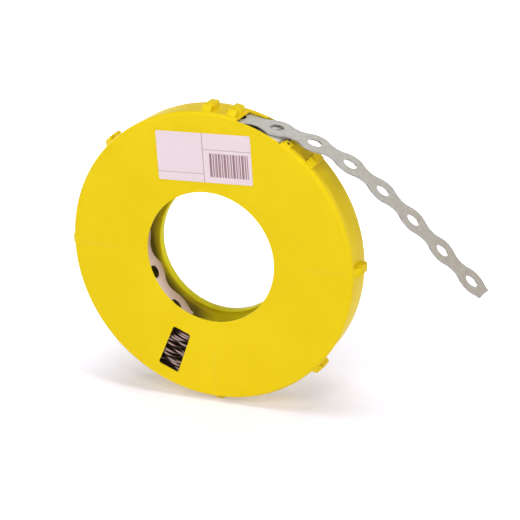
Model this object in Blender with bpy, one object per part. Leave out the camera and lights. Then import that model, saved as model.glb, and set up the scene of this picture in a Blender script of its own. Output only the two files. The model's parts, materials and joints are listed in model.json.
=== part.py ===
"""Perforated steel strap in its dispenser cassette, standing on its lowest clip.

The reel's axis runs along Y, its front face looks towards -Y, and the strap's free end leads out
of the rim at the upper right. The origin is the middle of the foot, the clip that it stands on.
"""

import math

import bmesh
import bpy
from mathutils import Matrix, Vector

MM = 0.001

# Driving dimensions of the steel strap, in millimetres
STRAP_WIDTH = 17.6
STRAP_WAIST = 11.0
STRAP_THICKNESS = 0.8
HOLE_DIAMETER = 7.0
HOLE_PITCH = 20.0
END_MARGIN = 8.5
END_SLANT = 1.0

# Driving dimensions of the coil
COIL_BUILD = 27.9
COIL_GROOVES = 8
GROOVE_DEPTH = 1.2
GROOVE_WIDTH = 1.6
INNER_END_AT = 245.0
LOOSE_SWEEP = 90.0
LOOSE_DROP = 4.8
LOOSE_END_DROP = 1.5
LOOSE_MIDDLE = 0.45

# Driving dimensions of the cassette
LID_RADIUS = 75.0
PLATE = 0.9
RIM_WALL = 0.8
RIM_STEP = 0.9
SKIRT_WALL = 1.4
SKIRT_DEPTH = 3.4
LID_FILLET = 2.0
BACK_CHAMFER = 0.9
LIP_HEIGHT = 3.1
LIP_WALL = 1.0

# Driving dimensions of the clips
CLIP_WIDTH = 5.6
CLIP_RISE = 2.6
CLIP_SPACING = 45.0
EXTRA_CLIP = 80.0
LUG_INSET = 1.4
LUG_RAMP = 3.4
LUG_LENGTH = 4.6
CATCH_GAP = 0.9
CATCH_LENGTH = 8.1
CATCH_CHAMFER = 1.0
SLIT_WIDTH = 0.55
SLIT_MARGIN = 0.2
SLIT_SHORT = 0.4

# Driving dimensions of the openings, angles in degrees from +X towards +Z
EXIT_FROM = 56.5
EXIT_TO = 76.9
EXIT_DEEP_TO = 69.5
LID_NOTCH_FROM = 58.0
BACK_STRIP = 3.3
LID_NOTCH_DEPTH = 1.1
SKIRT_GAP_DEPTH = 3.0
SKIRT_GAP_LIP = 0.2
WINDOW_ANGLE = -112.0
WINDOW_SPREAD = 10.4
WINDOW_INSET = 6.5
WINDOW_LENGTH = 23.9
WINDOW_CORNER = 1.2

# Driving dimensions of the pin boss beside the exit
BOSS_ANGLE = 55.7
BOSS_WIDTH = 4.6
BOSS_RISE = 0.9
BOSS_LENGTH = 5.0
BOSS_OVERLAP = 1.7
BOSS_HOLE = 1.6
BOSS_HOLE_BACK = 1.9

# Driving dimensions of the paper label
LABEL_WIDTH = 50.0
LABEL_HEIGHT = 25.0
LABEL_THICKNESS = 0.2
LABEL_CORNER = 1.5
LABEL_INSET = 23.1
LABEL_ANGLE = 90.8
LABEL_TILT = 1.9

# Route of the free end: where it leaves the coil, and its heading in degrees at each hole
LEAVES_AT = 84.0
WOUND_SWEEP = 26.0
WOUND_RISE = 1.1
FIRST_HOLE = 6.8
HEADINGS = (-8.6, -12.4, -20.6, -31.6, -39.2, -42.8, -44.2, -42.8, -42.0)

# Clearances and mesh resolution
SEAT_GAP = 0.3
COIL_CLEARANCE = 1.7
LIP_CLEARANCE = 3.9
LEAD_GAP = 0.1
CUT_MARGIN = 1.0
TURN_STEPS = 96
COIL_STEPS = 72
FILLET_STEPS = 4
HOLE_STEPS = 16
RING_STEP = 3.75
STATION_SHARES = (0.26, 0.37)

# Sizes that follow from those above
HALF_INSIDE = STRAP_WIDTH / 2 + SEAT_GAP
HALF_DEPTH = HALF_INSIDE + PLATE
RIM_RADIUS = LID_RADIUS - RIM_STEP
RIM_INNER = RIM_RADIUS - RIM_WALL
COIL_RADIUS = RIM_INNER - COIL_CLEARANCE
COIL_BORE_RADIUS = COIL_RADIUS - COIL_BUILD
BORE_RADIUS = COIL_BORE_RADIUS - LOOSE_DROP - LIP_CLEARANCE - LIP_WALL
CLIP_RADIUS = LID_RADIUS + CLIP_RISE
SKIRT_END = -HALF_DEPTH + SKIRT_DEPTH
RIM_FRONT = SKIRT_END + SEAT_GAP
LUG_FRONT = -HALF_DEPTH + LUG_INSET
LUG_BACK = LUG_FRONT + LUG_LENGTH
CATCH_FRONT = LUG_BACK + CATCH_GAP
CATCH_BACK = CATCH_FRONT + CATCH_LENGTH
BOSS_FRONT = SKIRT_END - BOSS_OVERLAP
WINDOW_OUTER = LID_RADIUS - WINDOW_INSET
WINDOW_INNER = WINDOW_OUTER - WINDOW_LENGTH
LABEL_RADIUS = LID_RADIUS - LABEL_INSET
LEAD_RADIUS = COIL_RADIUS + STRAP_THICKNESS / 2 + LEAD_GAP
CENTRE = Vector((0.0, 0.0, CLIP_RADIUS * MM))


def clear_scene():
    """Removes whatever the start-up file holds."""
    for item in list(bpy.data.objects):
        bpy.data.objects.remove(item)


def material(name, colour, roughness, metallic=0.0):
    """A Principled material of one colour."""
    made = bpy.data.materials.new(name)
    made.use_nodes = True
    shader = made.node_tree.nodes["Principled BSDF"]
    shader.inputs["Base Color"].default_value = (*colour, 1.0)
    shader.inputs["Roughness"].default_value = roughness
    shader.inputs["Metallic"].default_value = metallic
    return made


def place(radius, angle, y):
    """The point at this radius and angle round the reel's axis, in metres."""
    turn = math.radians(angle)
    return CENTRE + Vector((radius * math.cos(turn), y, radius * math.sin(turn))) * MM


def finish(mesh, name, finish_material, cutter=False):
    """Turns a bmesh into a named object, faces out, with its material."""
    bmesh.ops.remove_doubles(mesh, verts=mesh.verts, dist=1e-7)
    bmesh.ops.recalc_face_normals(mesh, faces=mesh.faces)
    data = bpy.data.meshes.new(name)
    mesh.to_mesh(data)
    mesh.free()
    made = bpy.data.objects.new(name, data)
    bpy.context.scene.collection.objects.link(made)
    if cutter:
        made.hide_render = True
        made.display_type = "WIRE"
    else:
        data.materials.append(finish_material)
        data.shade_smooth()
        data.set_sharp_from_angle(angle=math.radians(30))
    return made


def combine(target, other, operation):
    """Joins a helper to an object, or cuts it away."""
    step = target.modifiers.new(f"{operation.lower()} {other.name}", "BOOLEAN")
    step.operation = operation
    step.solver = "EXACT"
    step.object = other


def arc(centre, radius, start, end, steps):
    """Points of an arc in the plane of radius and depth, angles in degrees."""
    turns = [math.radians(start + (end - start) * i / steps) for i in range(steps + 1)]
    return [(centre[0] + radius * math.cos(a), centre[1] + radius * math.sin(a)) for a in turns]


def turned(profile, steps):
    """A full turn of a closed profile of radius and depth round the reel's axis."""
    mesh = bmesh.new()
    corners = [mesh.verts.new(place(r, 0.0, y)) for r, y in profile]
    edges = [mesh.edges.new((a, b)) for a, b in zip(corners, corners[1:] + corners[:1])]
    bmesh.ops.spin(
        mesh,
        geom=corners + edges,
        cent=CENTRE,
        axis=(0, 1, 0),
        angle=2 * math.pi,
        steps=steps,
        use_merge=True,
    )
    return mesh


def swept_profile(mesh, profile, angle, width):
    """Adds a closed profile of radius and depth, drawn out straight to a width across one angle."""
    turn = math.radians(angle)
    across = Vector((-math.sin(turn), 0.0, math.cos(turn))) * width / 2 * MM
    near = [mesh.verts.new(place(r, angle, y) - across) for r, y in profile]
    face = mesh.faces.new(near)
    drawn = bmesh.ops.extrude_face_region(mesh, geom=[face])
    moved = [v for v in drawn["geom"] if isinstance(v, bmesh.types.BMVert)]
    bmesh.ops.translate(mesh, verts=moved, vec=2 * across)


def sector(mesh, outline, y_from, y_to):
    """Adds a prism along the reel's axis on an outline of radii and angles."""
    near = [mesh.verts.new(place(r, a, y_from)) for r, a in outline]
    face = mesh.faces.new(near)
    drawn = bmesh.ops.extrude_face_region(mesh, geom=[face])
    moved = [v for v in drawn["geom"] if isinstance(v, bmesh.types.BMVert)]
    bmesh.ops.translate(mesh, verts=moved, vec=Vector((0.0, (y_to - y_from) * MM, 0.0)))


def ring_sector(inner, outer, start, end):
    """Outline of a piece of a ring, with a point every few degrees."""
    steps = max(2, round((end - start) / RING_STEP))
    angles = [start + (end - start) * i / steps for i in range(steps + 1)]
    return [(inner, a) for a in angles] + [(outer, a) for a in reversed(angles)]


def clip_angles():
    """The angle of every clip round the rim, the extra one beside the exit last."""
    count = round(360.0 / CLIP_SPACING)
    return [i * CLIP_SPACING for i in range(count)] + [EXTRA_CLIP]


def make_front_shell(plastic):
    """The lid: a flat ring with a rounded edge, a short skirt, lugs, a window and a pin boss."""
    fillet_centre = (LID_RADIUS - LID_FILLET, -HALF_DEPTH + LID_FILLET)
    skirt_inner = LID_RADIUS - SKIRT_WALL
    profile = [(BORE_RADIUS, -HALF_INSIDE), (BORE_RADIUS, -HALF_DEPTH)]
    profile += arc(fillet_centre, LID_FILLET, -90.0, 0.0, FILLET_STEPS)
    profile += [
        (LID_RADIUS, SKIRT_END),
        (skirt_inner, SKIRT_END),
        (skirt_inner, -HALF_INSIDE + PLATE),
        (skirt_inner - PLATE, -HALF_INSIDE),
    ]
    lid = finish(turned(profile, TURN_STEPS), "front_shell", plastic)
    combine(lid, finish(make_lid_notch(), "lid notch", plastic, cutter=True), "DIFFERENCE")
    combine(lid, finish(make_skirt_gap(), "skirt gap", plastic, cutter=True), "DIFFERENCE")
    combine(lid, finish(make_lugs(), "lid lugs", plastic, cutter=True), "UNION")
    combine(lid, finish(make_boss_hole(), "boss hole", plastic, cutter=True), "DIFFERENCE")
    combine(lid, finish(make_window(), "window cut", plastic, cutter=True), "DIFFERENCE")
    return lid


def make_lid_notch():
    """Cutter that trims the lid's rounded edge where the strap comes out."""
    mesh = bmesh.new()
    outline = ring_sector(LID_RADIUS - LID_NOTCH_DEPTH, CLIP_RADIUS, LID_NOTCH_FROM, EXIT_TO)
    sector(mesh, outline, -HALF_DEPTH - CUT_MARGIN, SKIRT_END + CUT_MARGIN)
    return mesh


def make_skirt_gap():
    """Cutter that opens the lid's skirt there, down to the flat of the lid."""
    mesh = bmesh.new()
    outline = ring_sector(LID_RADIUS - SKIRT_GAP_DEPTH, CLIP_RADIUS, LID_NOTCH_FROM, EXIT_TO)
    sector(mesh, outline, -HALF_INSIDE + SKIRT_GAP_LIP, SKIRT_END + CUT_MARGIN)
    return mesh


def make_lugs():
    """The lid's ramped lugs, one in front of each catch, and the pin boss beside the exit."""
    mesh = bmesh.new()
    root = LID_RADIUS - SKIRT_WALL / 2
    overhang = RIM_RADIUS + SEAT_GAP
    profile = [
        (root, LUG_FRONT),
        (root, SKIRT_END - SEAT_GAP),
        (overhang, SKIRT_END - SEAT_GAP),
        (overhang, LUG_BACK),
        (CLIP_RADIUS, LUG_BACK),
        (CLIP_RADIUS, LUG_FRONT + LUG_RAMP),
    ]
    for angle in clip_angles():
        swept_profile(mesh, profile, angle, CLIP_WIDTH)
    boss_top = LID_RADIUS + BOSS_RISE
    boss = [
        (root, BOSS_FRONT),
        (root, SKIRT_END - SEAT_GAP),
        (overhang, SKIRT_END - SEAT_GAP),
        (overhang, BOSS_FRONT + BOSS_LENGTH),
        (boss_top, BOSS_FRONT + BOSS_LENGTH),
        (boss_top, BOSS_FRONT),
    ]
    swept_profile(mesh, boss, BOSS_ANGLE, BOSS_WIDTH)
    return mesh


def make_boss_hole():
    """Cutter for the pin hole that goes through the boss towards the axis."""
    mesh = bmesh.new()
    middle = place(LID_RADIUS, BOSS_ANGLE, BOSS_FRONT + BOSS_HOLE_BACK)
    turn = Matrix.Rotation(math.radians(90.0 - BOSS_ANGLE), 4, "Y")
    bmesh.ops.create_cone(
        mesh,
        cap_ends=True,
        segments=HOLE_STEPS,
        radius1=BOSS_HOLE / 2 * MM,
        radius2=BOSS_HOLE / 2 * MM,
        depth=4 * SKIRT_WALL * MM,
        matrix=Matrix.Translation(middle) @ turn,
    )
    return mesh


def make_window():
    """Cutter for the window that shows the turns of the coil, with rounded corners."""
    mesh = bmesh.new()
    half = WINDOW_SPREAD / 2
    outline = []
    corners = (
        (WINDOW_INNER, -half, 180.0, 270.0),
        (WINDOW_OUTER, -half, 270.0, 360.0),
        (WINDOW_OUTER, half, 0.0, 90.0),
        (WINDOW_INNER, half, 90.0, 180.0),
    )
    for radius, side, start, end in corners:
        inward = WINDOW_CORNER if radius == WINDOW_INNER else -WINDOW_CORNER
        along = math.degrees(WINDOW_CORNER / radius)
        middle = (radius + inward, side - math.copysign(along, side))
        for step in range(3):
            turn = math.radians(start + (end - start) * step / 2)
            point_radius = middle[0] + WINDOW_CORNER * math.cos(turn)
            point_angle = middle[1] + along * math.sin(turn)
            outline.append((point_radius, WINDOW_ANGLE + point_angle))
    sector(mesh, outline, -HALF_DEPTH - CUT_MARGIN, -HALF_INSIDE + CUT_MARGIN)
    return mesh


def make_back_shell(plastic):
    """The cup: a flat ring, the rim wall, a lip round the bore, catches and the exit opening."""
    profile = [
        (BORE_RADIUS, HALF_DEPTH),
        (BORE_RADIUS, HALF_DEPTH - PLATE - LIP_HEIGHT),
        (BORE_RADIUS + LIP_WALL, HALF_DEPTH - PLATE - LIP_HEIGHT),
        (BORE_RADIUS + LIP_WALL, HALF_INSIDE),
        (RIM_INNER, HALF_INSIDE),
        (RIM_INNER, RIM_FRONT),
        (RIM_RADIUS, RIM_FRONT),
        (RIM_RADIUS, HALF_DEPTH - BACK_CHAMFER),
        (RIM_RADIUS - BACK_CHAMFER, HALF_DEPTH),
    ]
    cup = finish(turned(profile, TURN_STEPS), "back_shell", plastic)
    combine(cup, finish(make_catches(), "rim catches", plastic, cutter=True), "UNION")
    combine(cup, finish(make_slits(), "catch slits", plastic, cutter=True), "DIFFERENCE")
    combine(cup, finish(make_exit(), "exit cut", plastic, cutter=True), "DIFFERENCE")
    return cup


def make_catches():
    """The cup's catches, one behind each lug of the lid."""
    mesh = bmesh.new()
    root = RIM_RADIUS - RIM_WALL / 2
    profile = [
        (root, CATCH_FRONT),
        (root, CATCH_BACK),
        (CLIP_RADIUS - CATCH_CHAMFER, CATCH_BACK),
        (CLIP_RADIUS, CATCH_BACK - CATCH_CHAMFER),
        (CLIP_RADIUS, CATCH_FRONT),
    ]
    for angle in clip_angles():
        swept_profile(mesh, profile, angle, CLIP_WIDTH)
    return mesh


def make_slits():
    """Cutter for the slit along one side of each catch, which lets it spring."""
    mesh = bmesh.new()
    inner = RIM_INNER - CUT_MARGIN
    front = RIM_FRONT - CUT_MARGIN
    outer = CLIP_RADIUS + CUT_MARGIN
    back = CATCH_BACK - SLIT_SHORT
    profile = [
        (inner, front),
        (inner, back),
        (outer, back),
        (outer, front),
    ]
    offset = math.degrees((CLIP_WIDTH / 2 + SLIT_MARGIN + SLIT_WIDTH / 2) / RIM_RADIUS)
    for angle in clip_angles():
        swept_profile(mesh, profile, angle + offset, SLIT_WIDTH)
    return mesh


def make_exit():
    """Cutter for the opening in the rim: a strip stays at the back, except under the strap."""
    mesh = bmesh.new()
    inner = RIM_INNER - CUT_MARGIN
    strip_front = HALF_DEPTH - BACK_STRIP
    outline = ring_sector(inner, CLIP_RADIUS + CUT_MARGIN, EXIT_FROM, EXIT_TO)
    sector(mesh, outline, RIM_FRONT - CUT_MARGIN, strip_front)
    deep = make_deep_exit(inner, strip_front)
    shallow = finish(mesh, "exit front cut", None, cutter=True)
    combine(shallow, deep, "UNION")
    bpy.context.view_layer.update()
    graph = bpy.context.evaluated_depsgraph_get()
    joined = bmesh.new()
    joined.from_object(shallow, graph)
    return joined


def make_deep_exit(inner, strip_front):
    """Helper of the exit: the stretch under the strap's crest, cut down to the back plate."""
    mesh = bmesh.new()
    outline = ring_sector(inner, CLIP_RADIUS + CUT_MARGIN, EXIT_FROM, EXIT_DEEP_TO)
    sector(mesh, outline, strip_front - CUT_MARGIN, HALF_INSIDE)
    return finish(mesh, "exit deep cut", None, cutter=True)


def half_width(along):
    """Half the strap's width this far along from the middle of a hole."""
    crest = STRAP_WIDTH / 2
    waist = STRAP_WAIST / 2
    reach = HOLE_PITCH / 2
    neck = (reach**2 + waist**2 - crest**2) / (2 * (crest - waist))
    offset = abs((along + reach) % HOLE_PITCH - reach)
    if offset <= reach * crest / (crest + neck):
        return math.sqrt(crest**2 - offset**2)
    return waist + neck - math.sqrt(neck**2 - (reach - offset) ** 2)


def hole_half(along):
    """Half the hole's width this far along from the middle of a hole, or nought beside it."""
    offset = (along + HOLE_PITCH / 2) % HOLE_PITCH - HOLE_PITCH / 2
    radius = HOLE_DIAMETER / 2
    return math.sqrt(max(0.0, radius**2 - offset**2))


def stations(first, last):
    """The places along the strap where its mesh has a row of points."""
    turns = [math.tau * k / HOLE_STEPS for k in range(HOLE_STEPS // 2 + 1)]
    beside = [HOLE_PITCH * share for share in STATION_SHARES]
    cell = [HOLE_DIAMETER / 2 * math.cos(turn) for turn in turns]
    cell += beside + [-offset for offset in beside] + [HOLE_PITCH / 2]
    found = {first, last}
    for hole in range(math.floor(first / HOLE_PITCH) - 1, math.ceil(last / HOLE_PITCH) + 2):
        found |= {round(hole * HOLE_PITCH + offset, 6) for offset in cell}
    return sorted(s for s in found if first <= s <= last)


def lead_route(along):
    """Place and heading of the free end, measured along it from the first hole outside the coil."""
    back = -FIRST_HOLE
    if along < back:
        turned_back = (back - along) / LEAD_RADIUS
        share = math.degrees(turned_back) / WOUND_SWEEP
        radius = LEAD_RADIUS - WOUND_RISE * share**2
        angle = math.radians(LEAVES_AT) + turned_back
        return radius * math.cos(angle), radius * math.sin(angle), angle - math.pi / 2
    steps = max(1, math.ceil((along - back) / 0.5))
    x = LEAD_RADIUS * math.cos(math.radians(LEAVES_AT))
    z = LEAD_RADIUS * math.sin(math.radians(LEAVES_AT))
    stride = (along - back) / steps
    for step in range(steps):
        turn = heading(back + (step + 0.5) * stride)
        x += stride * math.cos(turn)
        z += stride * math.sin(turn)
    return x, z, heading(along)


def heading(along):
    """The free end's heading in radians, blended between the holes."""
    if along < 0.0:
        start = LEAVES_AT - 90.0
        share = 1.0 + along / FIRST_HOLE
        return math.radians(start + (HEADINGS[0] - start) * share)
    hole = min(int(along // HOLE_PITCH), len(HEADINGS) - 2)
    share = min(1.0, along / HOLE_PITCH - hole)
    return math.radians(HEADINGS[hole] + (HEADINGS[hole + 1] - HEADINGS[hole]) * share)


def make_lead():
    """The strap's free end: a flat wavy strip with its holes, thickened and bent along its route."""
    first = -FIRST_HOLE - math.radians(WOUND_SWEEP) * LEAD_RADIUS
    last = (len(HEADINGS) - 2) * HOLE_PITCH + END_MARGIN
    mesh = bmesh.new()
    places = stations(first, last)
    for side in (-1.0, 1.0):
        rows = []
        for along in places:
            slant = side * END_SLANT / 2 if along == last else 0.0
            edge = mesh.verts.new((along + slant, side * half_width(along), 0.0))
            middle = mesh.verts.new((along, side * hole_half(along), 0.0))
            rows.append((edge, middle))
        for here, there in zip(rows, rows[1:]):
            mesh.faces.new((here[0], there[0], there[1], here[1]))
    bmesh.ops.remove_doubles(mesh, verts=mesh.verts, dist=1e-4)
    drawn = bmesh.ops.extrude_face_region(mesh, geom=mesh.faces[:])
    moved = [v for v in drawn["geom"] if isinstance(v, bmesh.types.BMVert)]
    bmesh.ops.translate(mesh, verts=moved, vec=(0.0, 0.0, STRAP_THICKNESS))
    for vertex in mesh.verts:
        along, across, height = vertex.co
        x, z, turn = lead_route(along)
        lift = height - STRAP_THICKNESS / 2
        point = Vector((x - lift * math.sin(turn), across, z + lift * math.cos(turn)))
        vertex.co = CENTRE + point * MM
    return mesh


def loose_drop(angle):
    """How far the coil's inner end has sprung in from the bore at this angle."""
    before_end = (INNER_END_AT - angle) % 360.0 / LOOSE_SWEEP
    if before_end >= 1.0:
        return 0.0
    if before_end < LOOSE_MIDDLE:
        share = before_end / LOOSE_MIDDLE
        return LOOSE_END_DROP + (LOOSE_DROP - LOOSE_END_DROP) * math.sin(share * math.pi / 2)
    share = (1.0 - before_end) / (1.0 - LOOSE_MIDDLE)
    return LOOSE_DROP * (1.0 - math.cos(share * math.pi)) / 2


def spring_inwards(mesh):
    """Moves the coil's bore in where its inner end has sprung away from the other turns."""
    for vertex in mesh.verts:
        across = vertex.co.x - CENTRE.x
        upright = vertex.co.z - CENTRE.z
        radius = math.hypot(across, upright)
        if abs(radius - COIL_BORE_RADIUS * MM) > 1e-6:
            continue
        share = 1.0 - loose_drop(math.degrees(math.atan2(upright, across))) / COIL_BORE_RADIUS
        vertex.co.x = CENTRE.x + across * share
        vertex.co.z = CENTRE.z + upright * share


def make_strap(steel):
    """The coil, with its turns grooved into both ends, and the free end that comes off it."""
    half = STRAP_WIDTH / 2
    spacing = (COIL_RADIUS - COIL_BORE_RADIUS) / (COIL_GROOVES + 1)
    middles = [COIL_BORE_RADIUS + spacing * (i + 1) for i in range(COIL_GROOVES)]
    front = [(COIL_BORE_RADIUS, -half)]
    for middle in middles:
        front += [
            (middle - GROOVE_WIDTH / 2, -half),
            (middle, -half + GROOVE_DEPTH),
            (middle + GROOVE_WIDTH / 2, -half),
        ]
    front.append((COIL_RADIUS, -half))
    profile = front + [(r, -y) for r, y in reversed(front)]
    coil = turned(profile, COIL_STEPS)
    spring_inwards(coil)
    strap = finish(coil, "strap", steel)
    combine(strap, finish(make_lead(), "free end", steel, cutter=True), "UNION")
    return strap


def make_label(paper):
    """The paper label on the lid, a bare rounded sheet."""
    mesh = bmesh.new()
    across = LABEL_WIDTH / 2 - LABEL_CORNER
    upright = LABEL_HEIGHT / 2 - LABEL_CORNER
    corners = ((1, 1, 0.0), (-1, 1, 90.0), (-1, -1, 180.0), (1, -1, 270.0))
    points = []
    for side_x, side_z, start in corners:
        middle = (side_x * across, side_z * upright)
        points += arc(middle, LABEL_CORNER, start, start + 90.0, FILLET_STEPS)
    middle = place(LABEL_RADIUS, LABEL_ANGLE, -HALF_DEPTH - SEAT_GAP)
    tilt = Matrix.Rotation(math.radians(-LABEL_TILT), 4, "Y")
    verts = [mesh.verts.new(middle + tilt @ Vector((x, 0.0, z)) * MM) for x, z in points]
    drawn = bmesh.ops.extrude_face_region(mesh, geom=[mesh.faces.new(verts)])
    moved = [v for v in drawn["geom"] if isinstance(v, bmesh.types.BMVert)]
    bmesh.ops.translate(mesh, verts=moved, vec=(0.0, -LABEL_THICKNESS * MM, 0.0))
    return finish(mesh, "label", paper)


def main():
    clear_scene()
    plastic = material("yellow housing", (0.87, 0.66, 0.01), 0.45)
    steel = material("galvanised steel", (0.55, 0.56, 0.56), 0.4, 1.0)
    paper = material("label paper", (0.85, 0.72, 0.75), 0.7)
    make_front_shell(plastic)
    make_back_shell(plastic)
    make_strap(steel)
    make_label(paper)


main()
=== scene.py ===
"""Looks of a coil of perforated steel strap in its yellow cassette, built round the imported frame.

Lengths are in millimetres until a mesh is made, and angles are in degrees from +X towards +Z.
"""

from __future__ import annotations

import json
import logging
import math
from collections.abc import Callable, Sequence
from dataclasses import dataclass
from enum import Enum

import bmesh
import bpy
import numpy as np
from mathutils import Matrix, Vector

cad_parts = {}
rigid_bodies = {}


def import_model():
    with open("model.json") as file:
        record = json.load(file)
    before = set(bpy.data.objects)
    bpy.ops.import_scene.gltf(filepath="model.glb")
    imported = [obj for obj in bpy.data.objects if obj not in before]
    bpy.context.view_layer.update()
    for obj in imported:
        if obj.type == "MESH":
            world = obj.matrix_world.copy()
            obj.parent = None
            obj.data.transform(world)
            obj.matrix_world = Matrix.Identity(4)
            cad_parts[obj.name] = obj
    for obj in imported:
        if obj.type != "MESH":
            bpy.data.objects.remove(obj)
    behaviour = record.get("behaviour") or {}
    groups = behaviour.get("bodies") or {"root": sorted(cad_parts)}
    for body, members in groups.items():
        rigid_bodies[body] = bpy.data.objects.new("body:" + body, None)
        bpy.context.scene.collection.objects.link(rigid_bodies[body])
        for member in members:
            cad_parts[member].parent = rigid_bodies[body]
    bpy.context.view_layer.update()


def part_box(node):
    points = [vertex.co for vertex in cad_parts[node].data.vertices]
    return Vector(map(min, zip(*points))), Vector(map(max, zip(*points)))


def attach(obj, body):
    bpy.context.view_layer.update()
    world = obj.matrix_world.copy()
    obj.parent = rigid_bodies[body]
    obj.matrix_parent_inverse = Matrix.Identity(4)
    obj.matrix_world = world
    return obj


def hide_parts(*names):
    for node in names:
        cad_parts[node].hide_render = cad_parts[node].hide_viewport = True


MM = 0.001
PHOTO_WIDTH = 520
SENSOR_WIDTH = 36.0
CLIP_START = 0.05

SHARP_ANGLE = 32.0
CUT_MARGIN = 1.0
ROOT_DEPTH = 1.0
FACE_SKIN = 0.1
INK_EDGE = 0.12
SPECK_EDGE = 14.0
STRIP_MAP = "strip"

log = logging.getLogger("strap_cassette")

Point2 = tuple[float, float]
Point3 = tuple[float, float, float]
Colour = tuple[float, float, float]
Shares = tuple[float, float, float, float]
Socket = bpy.types.NodeSocket
Value = Socket | float
Node = bpy.types.Node
NodeTree = bpy.types.NodeTree
Sockets = bpy.types.bpy_prop_collection
Material = bpy.types.Material
Piece = bpy.types.Object
BMesh = bmesh.types.BMesh
BMVert = bmesh.types.BMVert


class Join(Enum):
    """What a Boolean does with its second body."""

    ADD = "UNION"
    CUT = "DIFFERENCE"


class Ray(Enum):
    """The rays that see the white studio instead of its light level."""

    CAMERA = "Is Camera Ray"
    GLOSSY = "Is Glossy Ray"
    TRANSMISSION = "Is Transmission Ray"


@dataclass(frozen=True)
class Reel:
    """Sizes that every piece shares, read from the frame.

    Args:
        clip_radius: From the reel's axis to the clips' flat tops.
        half_depth: From the reel's middle plane to either face.
    """

    clip_radius: float
    half_depth: float

    @classmethod
    def from_frame(cls) -> Reel:
        """Reads the two shells' boxes."""
        low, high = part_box("front_shell")
        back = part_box("back_shell")[1]
        return cls(clip_radius=(high.z - low.z) / 2 / MM, half_depth=back.y / MM)

    @property
    def centre(self) -> Vector:
        """The middle of the reel, in metres."""
        return Vector((0.0, 0.0, self.clip_radius * MM))

    def place(self, radius: float, angle: float, y: float) -> Vector:
        """The point at this radius and angle round the axis, in metres."""
        turn = math.radians(angle)
        return self.centre + Vector((radius * math.cos(turn), y, radius * math.sin(turn))) * MM


def arc(centre: Point2, radius: float, start: float, end: float, steps: int) -> list[Point2]:
    """Points along an arc.

    Args:
        centre: Its middle.
        radius: Its radius.
        start: First angle.
        end: Last angle.
        steps: Pieces that it is cut into.

    Returns:
        One more point than it has steps.
    """
    turns = [math.radians(start + (end - start) * i / steps) for i in range(steps + 1)]
    return [(centre[0] + radius * math.cos(a), centre[1] + radius * math.sin(a)) for a in turns]


def put(name: str, data: bpy.types.ID, matrix: Matrix | None = None) -> Piece:
    """Makes an object of some data and links it to the scene, at a place where one is given."""
    made = bpy.data.objects.new(name, data)
    bpy.context.scene.collection.objects.link(made)
    if matrix is not None:
        made.matrix_world = matrix
    return made


def aimed(place: Vector, away: Vector, along: Vector) -> Matrix:
    """The matrix of a lamp or camera.

    Args:
        place: Where it stands.
        away: Where its back points.
        along: Roughly where its right side points.

    Returns:
        Its place and its turn.
    """
    away = away.normalized()
    right = (along - away * along.dot(away)).normalized()
    axes = Matrix((right, away.cross(right), away)).transposed()
    return Matrix.Translation(place) @ axes.to_4x4()


def draw_out(mesh: BMesh, near: list[BMVert], way: Vector) -> list[bmesh.types.BMEdge]:
    """Closes a loop of points, draws it out and returns all its edges."""
    drawn = bmesh.ops.extrude_face_region(mesh, geom=[mesh.faces.new(near)])["geom"]
    far = [v for v in drawn if isinstance(v, BMVert)]
    bmesh.ops.translate(mesh, verts=far, vec=way)
    return list({edge for vertex in near + far for edge in vertex.link_edges})


def new_object(name: str, mesh: BMesh, sharp: float = SHARP_ANGLE) -> Piece:
    """Turns a bmesh into an object of the scene.

    Args:
        name: The object's name.
        mesh: The bmesh, which is freed.
        sharp: Edges that turn by more than this stay sharp.

    Returns:
        The object, with its faces pointing out and smooth.
    """
    bmesh.ops.remove_doubles(mesh, verts=mesh.verts, dist=1e-7)
    bmesh.ops.recalc_face_normals(mesh, faces=mesh.faces)
    data = bpy.data.meshes.new(name)
    mesh.to_mesh(data)
    mesh.free()
    data.shade_smooth()
    data.set_sharp_from_angle(angle=math.radians(sharp))
    return put(name, data)


def combine(body: Piece, other: Piece, join: Join) -> None:
    """Adds another body to a piece or cuts it out, and removes the other body."""
    step = body.modifiers.new(join.name, "BOOLEAN")
    step.operation = join.value
    step.solver = "EXACT"
    step.object = other
    bpy.context.view_layer.update()
    graph = bpy.context.evaluated_depsgraph_get()
    data = bpy.data.meshes.new_from_object(body.evaluated_get(graph))
    body.modifiers.clear()
    body.data = data
    bpy.data.objects.remove(other)
    data.set_sharp_from_angle(angle=math.radians(SHARP_ANGLE))


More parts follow.
